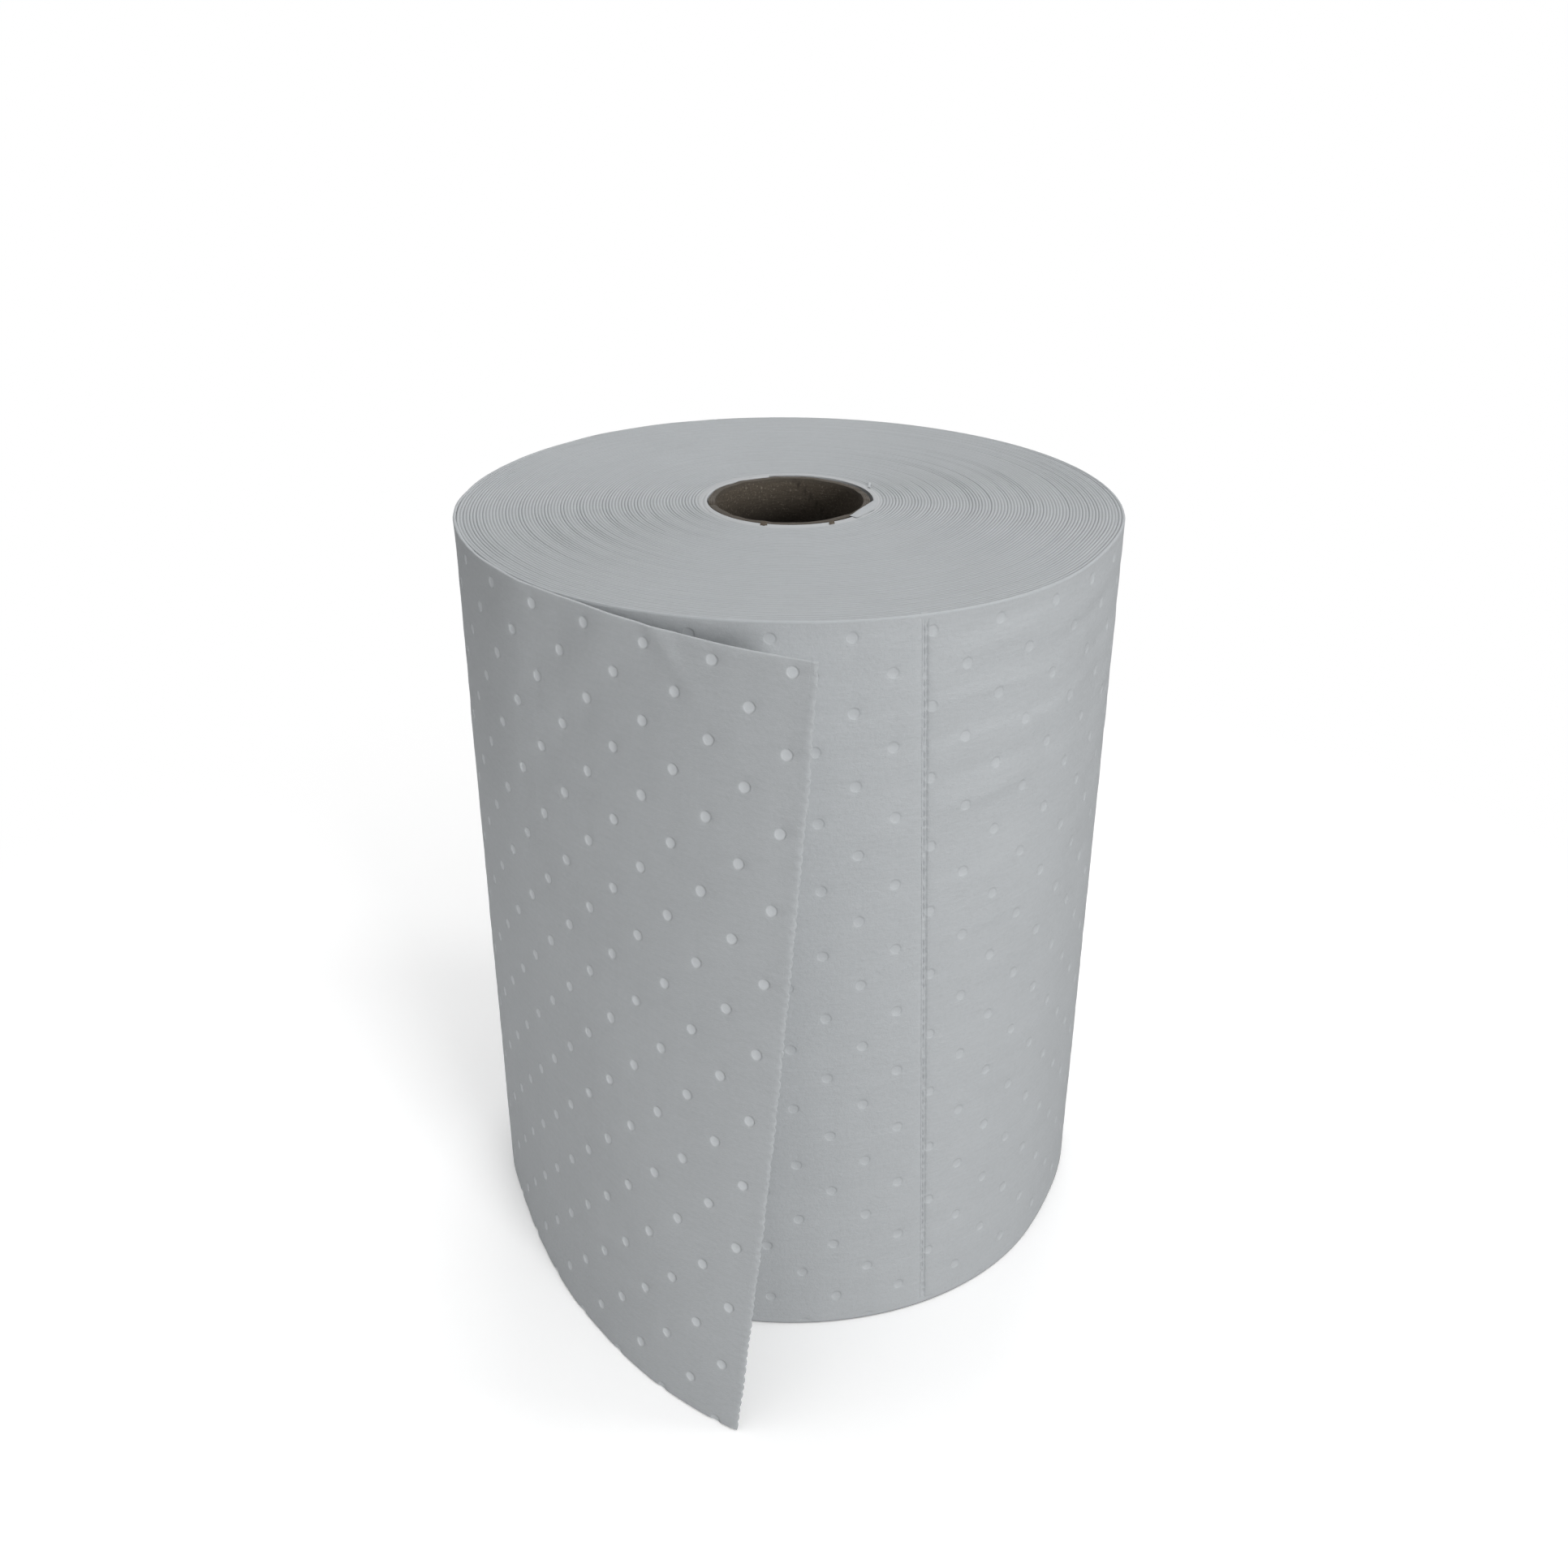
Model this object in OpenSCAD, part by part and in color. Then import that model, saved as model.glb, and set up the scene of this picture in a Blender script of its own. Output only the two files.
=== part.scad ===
// Oil absorbent roll: a bonded nonwoven web wound on a kraft board tube.
// The roll stands on one end. Its axis is +Z and its lower end face is on z = 0.
// The loose end leaves it on the left (-X) and reaches round to the front (-Y).

/* [Roll] */
// Width of the web, which is the height of the standing roll
web_width = 400; // [250:5:500]
// Diameter of the wound roll
roll_d = 341; // [240:1:400]
// Thickness of the web, which is what one turn adds to the radius
web_pitch = 1.63; // [1.5:0.01:4]

/* [End faces] */
// Width of the groove between two turns on the end faces
groove_w = 0.55; // [0.3:0.05:0.8]
// Depth of the groove between two turns on the end faces
groove_depth = 0.9; // [0.3:0.1:2]

/* [Core] */
// Inner diameter of the core tube
core_bore_d = 76.2; // [40:0.1:110]
// Wall of the core tube
core_wall = 3.6; // [1.5:0.1:8]
// Distance from each end face of the roll in to the end of the core tube
core_setback = 0; // [0:0.1:5]
// Gap between the core tube and the first turn of the web
core_gap = 0.15; // [0.05:0.05:0.3]

/* [Loose end] */
// Angle round the roll at which the lower edge of the web leaves it
leave_low = -160; // [-170:1:-150]
// Angle round the roll at which the upper edge of the web leaves it
leave_high = -134; // [-145:1:-125]
// Length of the lower edge of the web from where it leaves the roll to the torn edge
loose_len = 232; // [180:1:280]
// Angle by which the lower edge curls back towards the roll over that length
curl_low = 41; // [30:1:55]
// Angle by which the upper edge curls back towards the roll
curl_high = 22; // [10:1:30]
// Power with which the curl grows along the loose end, where 1 is an even bend
curl_power = 1.5; // [1:0.1:2.5]
// Distance by which the torn edge slants over the width of the web
tear_slant = 5; // [0:0.5:15]
// Distance by which the last half turn and the loose end stay inside the end faces of the roll
edge_in = 0.5; // [0.2:0.1:3]
// Distance by which the teeth of the torn edge stand out
tooth_height = 1.6; // [0.5:0.1:3]

/* [Perforations] */
// Distance from one perforation line to the next along the web
sheet_len = 513; // [400:1:530]
// Distance by which the second perforation line slants over the width of the web
perf_slant = 16.7; // [0:0.1:25]
// Distance from one slit to the next, and from one torn tooth to the next
perf_pitch = 5; // [4:0.5:12]
// Length of the uncut tie between two slits
tie_len = 1.2; // [0.5:0.1:2.5]
// Width of one slit
slit_w = 0.8; // [0.4:0.1:1.5]
// Depth of one slit in the wound roll
slit_depth = 1; // [0.4:0.1:1.2]

/* [Hidden] */
$fn = 96;

// Degrees in one radian
deg = 180 / PI;
// Distance by which a cutting tool runs past the face that it cuts
past = 1;
// Distance by which the last turn and the loose end reach into what they lie on
weld = 0.1;
// Length by which the loose end starts inside the last half turn
lap = 1;

core_r = core_bore_d / 2 + core_wall;
web_bore_r = core_r + core_gap;
// Radius of the full turns, on which the last half turn climbs by one thickness of the web
ring_r = (roll_d - web_pitch) / 2;
turns = floor((ring_r - web_bore_r) / web_pitch);
// Distance by which the outer face of the last half turn is off centre
climb = web_pitch / 2 + weld;

// Height of the last half turn
last_turn_h = web_width - 2 * edge_in;

// The loose end starts a little below the upper edge of the last half turn, and ends above the lower
loose_z = edge_in + weld;
loose_h = web_width - 2 * loose_z;
// It is a grid of rows up the web and stations along it
rows = 8;
stations = 30;
teeth_per_row = round(web_width / rows / perf_pitch);

// Share of the width of the web that lies below height z
function share(z) = z / web_width;
// Value at height z of what goes evenly from one value at the lower edge to one at the upper
function blend(low, high, z) = low + (high - low) * share(z);

// Slant of a line across the web that lies d from the torn edge
function slant(d) = tear_slant - (tear_slant + perf_slant) * d / (2 * sheet_len);
// Distance of that line from the lower leaving point at height z, negative on the roll
function line_at(d, z) = loose_len + tear_slant / 2 - d + slant(d) * (share(z) - 0.5);

// Angle at which the web leaves the roll at height z
function leave_at(z) = blend(leave_low, leave_high, z);
// Length of web at height z that still lies on the roll past the lower leaving point
function wrapped_at(z) = ring_r * (leave_at(z) - leave_low) / deg;
// Length of web at height z from the lower leaving point to the torn edge
function loose_at(z) = line_at(0, z);
// Direction of the web in plan at height z and distance s past the lower leaving point
function heading(z, s) = s < wrapped_at(z)
    ? leave_low + 90 + s / ring_r * deg
    : leave_at(z) + 90 + blend(curl_low, curl_high, z)
        * pow((s - wrapped_at(z)) / (loose_at(z) - wrapped_at(z)), curl_power);

// Unit step in plan along a heading
function along(h) = [cos(h), sin(h)];
// One row of the loose end at height z: plan position and heading at every station
function row_path(z) = let (step = (loose_at(z) + lap) / stations)
    [for (i = 0, s = -lap, p = (ring_r + web_pitch / 2) * along(leave_low - lap / ring_r * deg);
            i <= stations;
            p = p + step * along(heading(z, s + step / 2)), s = s + step, i = i + 1)
        [p.x, p.y, heading(z, s)]];

// Point that lies a distance outward from a station of a row at height z
function offset_point(q, z, out) = [q[0] + out * sin(q[2]), q[1] - out * cos(q[2]), z];

// Radius of the wound roll at an angle, with the climb of its last half turn
function surface_r(angle) = let (a = angle - leave_low)
    sin(a) < 0 ? max(ring_r, ring_r + web_pitch - climb * (1 - cos(a))) : ring_r;

// Half section of the wound turns, with one V groove for each turn on both end faces
module turn_section() {
    grooves = [for (k = [1 : turns]) ring_r - web_pitch * k];
    low = [for (r = grooves) if (r > web_bore_r + groove_w)
        each [[r + groove_w / 2, 0], [r, groove_depth], [r - groove_w / 2, 0]]];
    high = [for (i = [len(low) - 1 : -1 : 0]) [low[i].x, web_width - low[i].y]];
    polygon(concat(
        [[ring_r, 0]], low, [[web_bore_r, 0], [web_bore_r, web_width]], high, [[ring_r, web_width]]));
}

// Last half turn: its outer face is off centre, so it climbs to a full step at the leaving line
module last_half_turn() {
    difference() {
        rotate([0, 0, leave_low]) translate([climb, 0, edge_in]) rotate([0, 0, 180])
            rotate_extrude(angle = 180) square([ring_r + web_pitch - climb, last_turn_h]);
        translate([0, 0, -past]) cylinder(r = ring_r - weld, h = web_width + 2 * past);
    }
}

// Loose end: a curling sheet that ends in torn teeth
module loose_end() {
    heights = [for (j = [0 : rows]) loose_z + j * loose_h / rows];
    paths = [for (z = heights) row_path(z)];
    edge_steps = 2 * teeth_per_row;

    // Point on the torn edge: every second one is the tip of a tooth
    function torn_point(e, out) = let (
            j = min(floor(e / edge_steps), rows - 1),
            t = e / edge_steps - j,
            low = offset_point(paths[j][stations], heights[j], out),
            high = offset_point(paths[j + 1][stations], heights[j + 1], out),
            h = paths[j][stations][2],
            tip = (e % 2) * tooth_height)
        low + (high - low) * t + tip * [cos(h), sin(h), 0];
    function skin(out) = concat(
        [for (j = [0 : rows], i = [0 : stations - 1]) offset_point(paths[j][i], heights[j], out)],
        [for (e = [0 : rows * edge_steps]) torn_point(e, out)]);

    outer = skin(web_pitch / 2 - weld / 2);
    inner = skin(-web_pitch / 2 - 2 * weld);
    under = len(outer);

    // Places in the outer skin: a station of a row, and a point of the torn edge
    function at(j, i) = j * stations + i;
    function torn(e) = (rows + 1) * stations + e;

    skin_faces = concat(
        [for (j = [0 : rows - 1], i = [0 : stations - 2]) each [
            [at(j, i), at(j + 1, i + 1), at(j, i + 1)],
            [at(j, i), at(j + 1, i), at(j + 1, i + 1)]]],
        [for (j = [0 : rows - 1]) let (last = stations - 1, e0 = j * edge_steps) each concat(
            [[at(j, last), at(j + 1, last), torn(e0 + edge_steps)]],
            [for (e = [e0 : 2 : e0 + edge_steps - 2]) each [
                [at(j, last), torn(e + 2), torn(e)],
                [torn(e), torn(e + 2), torn(e + 1)]]])]);
    // The rim goes once round the outer skin: lower edge, torn edge, upper edge, buried edge
    rim = concat(
        [for (i = [0 : stations - 1]) at(0, i)],
        [for (e = [0 : rows * edge_steps]) torn(e)],
        [for (i = [stations - 1 : -1 : 0]) at(rows, i)],
        [for (j = [rows - 1 : -1 : 1]) at(j, 0)]);
    rim_faces = [for (k = [0 : len(rim) - 1]) let (a = rim[k], b = rim[(k + 1) % len(rim)]) each [
        [a, b, b + under], [a, b + under, a + under]]];
    under_faces = [for (f = skin_faces) [f[0] + under, f[2] + under, f[1] + under]];
    polyhedron(concat(outer, inner), concat(skin_faces, under_faces, rim_faces));
}

// Perforation line on the roll, n sheets back from the torn edge
module perforation(n) {
    slits = round(web_width / perf_pitch);
    slit_pitch = web_width / slits;
    slit_len = slit_pitch - tie_len;
    for (k = [0 : slits - 1]) {
        z = (k + 0.5) * slit_pitch;
        angle = leave_low + line_at(n * sheet_len, z) / ring_r * deg;
        rotate([0, 0, angle])
            translate([surface_r(angle) - slit_depth, -slit_w / 2, z - slit_len / 2])
                cube([slit_depth + past, slit_w, slit_len]);
    }
}

module absorbent_web() {
    color("#aeb1b3") difference() {
        union() {
            rotate_extrude() turn_section();
            last_half_turn();
            loose_end();
        }
        for (n = [1, 2]) perforation(n);
    }
}

module core_tube() {
    color("#9c7a55") difference() {
        translate([0, 0, core_setback]) cylinder(r = core_r, h = web_width - 2 * core_setback);
        translate([0, 0, -past]) cylinder(d = core_bore_d, h = web_width + 2 * past);
    }
}

absorbent_web();
core_tube();
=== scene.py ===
import math

import bpy
import numpy as np
from mathutils import Matrix, Vector


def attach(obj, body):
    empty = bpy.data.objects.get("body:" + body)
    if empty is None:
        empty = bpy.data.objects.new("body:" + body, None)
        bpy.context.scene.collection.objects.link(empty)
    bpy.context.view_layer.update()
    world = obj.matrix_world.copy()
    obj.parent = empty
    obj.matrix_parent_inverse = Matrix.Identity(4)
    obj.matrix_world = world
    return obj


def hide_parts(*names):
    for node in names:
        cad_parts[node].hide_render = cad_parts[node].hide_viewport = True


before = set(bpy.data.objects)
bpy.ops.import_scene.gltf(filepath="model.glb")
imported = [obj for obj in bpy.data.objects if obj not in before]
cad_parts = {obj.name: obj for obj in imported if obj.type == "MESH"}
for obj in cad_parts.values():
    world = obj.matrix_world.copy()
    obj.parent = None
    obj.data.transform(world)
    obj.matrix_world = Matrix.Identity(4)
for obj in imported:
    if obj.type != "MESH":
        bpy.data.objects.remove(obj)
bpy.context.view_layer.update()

# Oil absorbent roll: a bonded nonwoven web wound on a board tube, standing on its end.
# Lengths are in metres unless a comment says millimetres. A place on the web is two numbers: d,
# the distance from its torn edge back along the web, and z, the height. The roll's axis is +Z.
MM = 0.001

# Web, roll and tube
WEB_WIDTH = 0.4
WEB_PITCH = 0.00163
WEB_HALF = 0.000775
ROLL_D = 0.341
RING_R = (ROLL_D - WEB_PITCH) / 2
TURN_LEN = 2 * math.pi * RING_R
BORE_R = 0.0381
CORE_R = 0.0417
# Distance by which the loose sheet's edges stay inside the end faces
EDGE_IN = 0.0002
# Height by which the end faces rise from the rim of the roll towards its middle
CROWN = 0.9 * MM

# Loose end: angles at which the web leaves the roll, its length, and the angles of its curl
LEAVE_LOW, LEAVE_HIGH = math.radians(-160), math.radians(-134)
LOOSE_LEN = 0.232
CURL_LOW, CURL_HIGH = math.radians(41), math.radians(22)
CURL_POWER = 1.5
# Steps in which the path of the loose end is summed up, and where it stops, just past the tear
PATH_STEPS = 480
PATH_END = 1.03

# Perforation lines lie one and two sheets back from the tear, and lean over the web's width
SHEET_LEN = 0.513
FRONT_LINE = 2 * SHEET_LEN
TEAR_SLANT, PERF_SLANT = 0.005, 0.0167
PERF_PITCH = 0.005
# Half of the strip that each perforation line takes up, and the strip that the torn edge takes up
PERF_HALF = 1.5 * MM
TORN_STRIP = 2.5 * MM
# Teeth of the torn edge, which are also the slits of a line, and grid steps in each
TEETH = round(WEB_WIDTH / PERF_PITCH)
TOOTH_STEPS = 8
# Mean size of a tooth, how far the sizes spread, and the power that rounds its outline
TOOTH_SIZE, TOOTH_SPREAD, TOOTH_POWER = 0.75 * MM, 0.35 * MM, 0.45
SLIT_DEPTH = 0.68 * MM

# Bonded spots: rows down from the upper edge, and columns back from the tear, whose spacing
# changes at the rear perforation
SPOT_ROW, SPOT_FIRST_ROW, SPOT_ROWS = 0.01775, 0.0085, 23
SPOT_COLUMN, SPOT_FIRST_COLUMN = 0.01755, 0.012
WOUND_COLUMN, WOUND_FIRST_COLUMN, WOUND_FIRST = 0.0174, 0.5185, 29
SPACING_CHANGE = 0.5122
SPOT_FLAT_R, SPOT_RIM_R = 1.8 * MM, 3.1 * MM
# Depth of the spots on the loose sheet and on the wall, and swelling of the felt between them
LOOSE_SPOT, WALL_SPOT, SWELL = 0.42 * MM, 0.3 * MM, 0.16 * MM
# Share of a column and of a row by which the spots are off near the upper corner of the torn
# edge, and by which they stray everywhere
CORNER_COLUMN, CORNER_ROW, SPOT_STRAY = 0.13, 0.14, 0.022
# Grid lines on each side of a spot's middle
SPOT_STEPS = np.array([-4.1, -2.7, -1.35, 0, 1.35, 2.7, 4.1]) * MM

# Humps and hollows round the wound roll: bearing in degrees, height in millimetres, width in degrees
HUMPS = [(-60, 1.3, 16), (-26, -2.1, 9), (-150, -1.3, 14), (-125, 1.0, 10),
         (160, -1.5, 18), (115, 1.5, 20), (55, -0.7, 16)]

# Wall of the wound roll: how far it stays from the end faces, how deep it goes, its last column
# of spots that shows, and its columns behind the loose sheet
WALL_CAP = 1.2 * MM
WALL_BACK = 2.6 * MM
LAST_SEEN, HIDDEN_COLUMNS = 75, 22

# End faces: turns that show, points in each turn, steps across one turn, and depth of the skirt
TURNS = 78
ROUND = 240
ACROSS = np.array([0.0, 0.25, 0.5, 0.75])
SKIRT = 5 * MM
# Depth in millimetres of the grooves between turns, how far it spreads, and of their shoulders
GROOVE, GROOVE_SPREAD, SHOULDER = 0.42, 0.12, 0.12
# Radii between which the smooth collar of the innermost turns ends
COLLAR_FROM, COLLAR_TO = 0.0455, 0.0485

# Rim of the tube: distance in from its outside and depth of the rim there, over its thin plies
PLIES = np.array([[0, 0.5], [0.25, 0.06], [0.75, 0.0], [0.95, 0.22], [1.15, 0.0], [1.7, 0.0],
                  [1.9, 0.2], [2.1, 0.0], [2.65, 0.0], [2.85, 0.22], [3.05, 0.02], [3.4, 0.08],
                  [3.6, 0.5]]) * MM
# Climb of the tube's innermost strip for one radian, which makes its seam close on itself
STRIP_CLIMB = 0.04
STRIP_WIDTH = math.pi * STRIP_CLIMB
SEAM_DEPTH, SEAM_HALF = 0.3 * MM, 0.9 * MM
# Points up the bore and round the tube
BORE_STEPS, TUBE_STEPS = 116, 192
# Notch in the upper rim: bearing in radians, width in degrees and depth
NOTCH_AT, NOTCH_WIDTH, NOTCH_DEPTH = -2.965, 2.6, 1.4 * MM

# Random values that drift and dapple run through before they repeat
DRIFT_KNOTS = 4096
DAPPLE_KNOTS = 256


# Numbers that vary smoothly

def smoothstep(low, high, x):
    """0 below low, 1 above high, and 3t^2 - 2t^3 between them."""
    t = np.clip((x - low) / (high - low), 0, 1)
    return t * t * (3 - 2 * t)


def bell(x, width):
    """1 where x is 0, falling off to both sides as e to the power of -(x / width)^2."""
    return np.exp(-(x / width) ** 2)


def drift(x, seed):
    """A smooth curve through one random value from -1 to 1 at each whole number of x."""
    knots = np.random.default_rng(seed).uniform(-1, 1, DRIFT_KNOTS)
    i = np.floor(x).astype(int)
    t = smoothstep(0, 1, x - i)
    return knots[i % DRIFT_KNOTS] * (1 - t) + knots[(i + 1) % DRIFT_KNOTS] * t


def dapple(x, y, seed):
    """A smooth surface through one random value from -1 to 1 at each whole x and y."""
    knots = np.random.default_rng(seed).uniform(-1, 1, (DAPPLE_KNOTS, DAPPLE_KNOTS))
    i, j = np.floor(x).astype(int), np.floor(y).astype(int)
    t, u = smoothstep(0, 1, x - i), smoothstep(0, 1, y - j)
    left, right = i % DAPPLE_KNOTS, (i + 1) % DAPPLE_KNOTS
    below, above = j % DAPPLE_KNOTS, (j + 1) % DAPPLE_KNOTS
    low = knots[below, left] * (1 - t) + knots[below, right] * t
    high = knots[above, left] * (1 - t) + knots[above, right] * t
    return low * (1 - u) + high * u


def degrees_from(angle, centre):
    """Angle in degrees from a centre, between -180 and 180. Both are given in radians."""
    return np.degrees(np.angle(np.exp(1j * (angle - centre))))


# The web's path

def slant(d):
    """Lean of a line across the web over its width: from the tear's to the perforations' lean."""
    return TEAR_SLANT - (TEAR_SLANT + PERF_SLANT) * d / FRONT_LINE


def line_at(d, z):
    """Distance along the web past the lower leaving point, for a line d from the torn edge."""
    return LOOSE_LEN + TEAR_SLANT / 2 - d + slant(d) * (z / WEB_WIDTH - 0.5)


def out_of_round(angle):
    """How far the wound roll stands out of its circle: the sum of a bell curve for each hump."""
    total = 0
    for bearing, height, width in HUMPS:
        away = degrees_from(angle, math.radians(bearing))
        total = total + height * MM * np.exp(-(away / width) ** 2 / 2)
    return total


def web_place(d, z):
    """Plan position and heading of the web's middle, for columns d and one height z in each row,
    and how far along the loose end each place is, as a share of its length.

    On the roll the path is a spiral that gains one thickness in each turn, with the roll's humps.
    Past the leaving line the heading turns by the curl times (way along the loose end)^power,
    and the position is the running sum of unit steps along the heading.
    """
    s = line_at(d, z)
    leave = LEAVE_LOW + (LEAVE_HIGH - LEAVE_LOW) * z / WEB_WIDTH
    curl = CURL_LOW + (CURL_HIGH - CURL_LOW) * z / WEB_WIDTH
    wrapped = RING_R * (leave - LEAVE_LOW)
    free = line_at(0, z) - wrapped

    def spiral(s):
        """Plan position on the roll, at a distance s past the lower leaving point."""
        angle = LEAVE_LOW + s / RING_R
        radius = RING_R + WEB_PITCH / 2 + WEB_PITCH * s / TURN_LEN + out_of_round(angle)
        return radius * np.cos(angle), radius * np.sin(angle)

    way, step = np.linspace(0, PATH_END, PATH_STEPS + 1, retstep=True)
    turn = leave + math.pi / 2 + curl * way[None, :] ** CURL_POWER
    middle = (turn[:, 1:] + turn[:, :-1]) / 2
    x0, y0 = spiral(wrapped)
    zero = np.zeros((len(z), 1))
    xs = x0 + np.hstack([zero, np.cumsum(np.cos(middle), 1) * free * step])
    ys = y0 + np.hstack([zero, np.cumsum(np.sin(middle), 1) * free * step])

    at = np.clip((s - wrapped) / free, 0, PATH_END) / step
    i = np.minimum(at.astype(int), PATH_STEPS - 1)
    t = at - i

    def along_path(table):
        """Values between the two nearest steps of the path, for each row's own path."""
        near, far = np.take_along_axis(table, i, 1), np.take_along_axis(table, i + 1, 1)
        return near * (1 - t) + far * t

    on_roll = s < wrapped
    x_roll, y_roll = spiral(s)
    x = np.where(on_roll, x_roll, along_path(xs))
    y = np.where(on_roll, y_roll, along_path(ys))
    heading = np.where(on_roll, LEAVE_LOW + s / RING_R + math.pi / 2, along_path(turn))
    return x, y, heading, np.where(on_roll, 0, (s - wrapped) / free)


def web_point(d, z, out):
    """Point that stands off the web's middle by out, on the side away from the roll."""
    x, y, heading, _ = web_place(d, z)
    return np.stack([x + out * np.sin(heading), y - out * np.cos(heading),
                     np.broadcast_to(z, x.shape)], -1)


# The web's pattern

def spot_column(c):
    """Distance from the torn edge of the c-th column of bonded spots, an even step for each."""
    return np.where(c <= WOUND_FIRST - 0.5, SPOT_FIRST_COLUMN + SPOT_COLUMN * c,
                    WOUND_FIRST_COLUMN + WOUND_COLUMN * (c - WOUND_FIRST))


def spot_grid(d, z):
    """Column and row number of a place on the web, as fractions; the rows count down from the top.

    A bonded spot is where both are whole numbers and their sum is even, so every other column is
    moved by half the spacing of its spots. The numbers drift a little, as the real rows do, and
    are shifted towards the upper corner of the torn edge.
    """
    corner = (1 - smoothstep(0.0, 0.07, d)) * smoothstep(0.15, 0.39, z)
    column = np.where(d < SPACING_CHANGE, (d - SPOT_FIRST_COLUMN) / SPOT_COLUMN,
                      WOUND_FIRST + (d - WOUND_FIRST_COLUMN) / WOUND_COLUMN)
    row = (WEB_WIDTH - z - SPOT_FIRST_ROW) / SPOT_ROW
    return (column + CORNER_COLUMN * corner + SPOT_STRAY * dapple(d / 0.03, z / 0.03, 11),
            row + CORNER_ROW * corner + SPOT_STRAY * dapple(d / 0.03, z / 0.03, 12))


def spot_depth(d, z):
    """1 on the flat bottom of a bonded spot and 0 outside it, from its distance to the middle."""
    column, row = spot_grid(d, z)
    a, b = (column + row) / 2, (column - row) / 2
    a, b = a - np.round(a), b - np.round(b)
    return 1 - smoothstep(SPOT_FLAT_R, SPOT_RIM_R, SPOT_ROW * np.hypot(a + b, a - b))


def web_relief(d, z, spots=LOOSE_SPOT):
    """Height of the web's face: bonded spots are pressed in, and the felt between them swells
    as a product of two cosines, with two sizes of lumps on it."""
    column, row = spot_grid(d, z)
    swell = 0.5 - 0.5 * np.cos(math.pi * (column + row)) * np.cos(math.pi * (column - row))
    lumps = 0.05 * MM * dapple(d / 0.009, z / 0.009, 5) + 0.12 * MM * dapple(d / 0.03, z / 0.04, 6)
    return -spots * spot_depth(d, z) + SWELL * swell + lumps


def pulled_folds(d, z):
    """Low ridges that run round the wound roll: a dapple with long low cells, strongest just past
    the front perforation near the top."""
    past_line = FRONT_LINE - d
    strong = smoothstep(0.0, 0.012, past_line) * (1 - smoothstep(0.12, 0.2, past_line))
    strong = strong * smoothstep(0.2, 0.3, z)
    bend = z - 0.12 * past_line + 0.004 * dapple(d / 0.05, z / 0.05, 14)
    return MM * dapple(d / 0.055, bend / 0.0075, 15) * (0.08 + 0.4 * strong)


def edge_wander(turns, seed):
    """How far the web's edge stands up or down, at a number of turns back from the rear
    perforation: the sum of a quick, a slower and a slow drift, a little below the face."""
    return MM * (0.015 * drift(turns * 14, seed) + 0.03 * drift(turns * 4, seed + 1)
                 + 0.1 * drift(turns / 2.3, seed + 2) - 0.1)


# Meshes

def mesh_object(name, points, faces):
    """A mesh object from an array of points and arrays of faces, one array for each corner count.
    Returns it with the point number of each of its faces' corners."""
    mesh = bpy.data.meshes.new(name)
    faces = [np.asarray(f, int) for f in faces]
    sizes = np.concatenate([np.full(len(f), f.shape[1]) for f in faces])
    corners = np.concatenate([f.ravel() for f in faces])
    mesh.vertices.add(len(points))
    mesh.vertices.foreach_set("co", np.asarray(points, np.float32).ravel())
    mesh.loops.add(len(corners))
    mesh.loops.foreach_set("vertex_index", corners.astype(np.int32))
    mesh.polygons.add(len(sizes))
    mesh.polygons.foreach_set("loop_start", (np.cumsum(sizes) - sizes).astype(np.int32))
    mesh.update(calc_edges=True)
    mesh.validate()
    made = bpy.data.objects.new(name, mesh)
    bpy.context.scene.collection.objects.link(made)
    return made, corners


def make_piece(name, points, faces, material, web=None, marks=None, sharp=40):
    """A smooth piece of the roll, whose edges past the angle sharp stay sharp.

    Where web gives each point's place on the web, d and z, two UV maps hold it: web is the place
    itself, and spots is the column and row of the bonded spots. marks are named values for points.
    """
    piece, corners = mesh_object(name, points, faces)
    mesh = piece.data
    mesh.polygons.foreach_set("use_smooth", np.ones(len(mesh.polygons), bool))
    mesh.set_sharp_from_angle(angle=math.radians(sharp))
    if web is not None:
        for label, pair in (("web", web), ("spots", spot_grid(*web))):
            layer = mesh.uv_layers.new(name=label)
            layer.data.foreach_set("uv", np.stack(pair, 1).astype(np.float32)[corners].ravel())
    for label, values in (marks or {}).items():
        mark = mesh.attributes.new(label, "FLOAT", "POINT")
        mark.data.foreach_set("value", np.asarray(values, np.float32).ravel())
    mesh.materials.append(material)
    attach(piece, "root")
    return piece


def grid_quads(rows, cols, start=0, flip=False):
    """Quads of a grid of rows x cols points, numbered row by row from start."""
    a = start + (np.arange(rows - 1)[:, None] * cols + np.arange(cols - 1)).ravel()
    quads = np.stack([a, a + 1, a + cols + 1, a + cols], 1)
    return quads[:, ::-1] if flip else quads


def ring_quads(rows, cols):
    """Quads of a grid that closes on itself both ways, numbered row by row."""
    number = np.arange(rows * cols).reshape(rows, cols)
    right, below = np.roll(number, -1, 1), np.roll(number, -1, 0)
    return np.stack([number, right, np.roll(below, -1, 1), below], -1).reshape(-1, 4)


def rim_loop(rows, cols):
    """Point numbers once round the rim of a grid."""
    return np.concatenate([
        np.arange(cols), np.arange(1, rows) * cols + cols - 1,
        (rows - 1) * cols + np.arange(cols - 2, -1, -1), np.arange(rows - 2, 0, -1) * cols])


def slab(outer, inner):
    """Points and faces of a closed slab between an outer and an inner grid of the same size."""
    rows, cols = outer.shape[:2]
    count = rows * cols
    loop = rim_loop(rows, cols)
    after = np.roll(loop, -1)
    rim = np.stack([loop, after, after + count, loop + count], 1)
    points = np.concatenate([outer.reshape(-1, 3), inner.reshape(-1, 3)])
    return points, [grid_quads(rows, cols, 0, True), grid_quads(rows, cols, count), rim]


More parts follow.
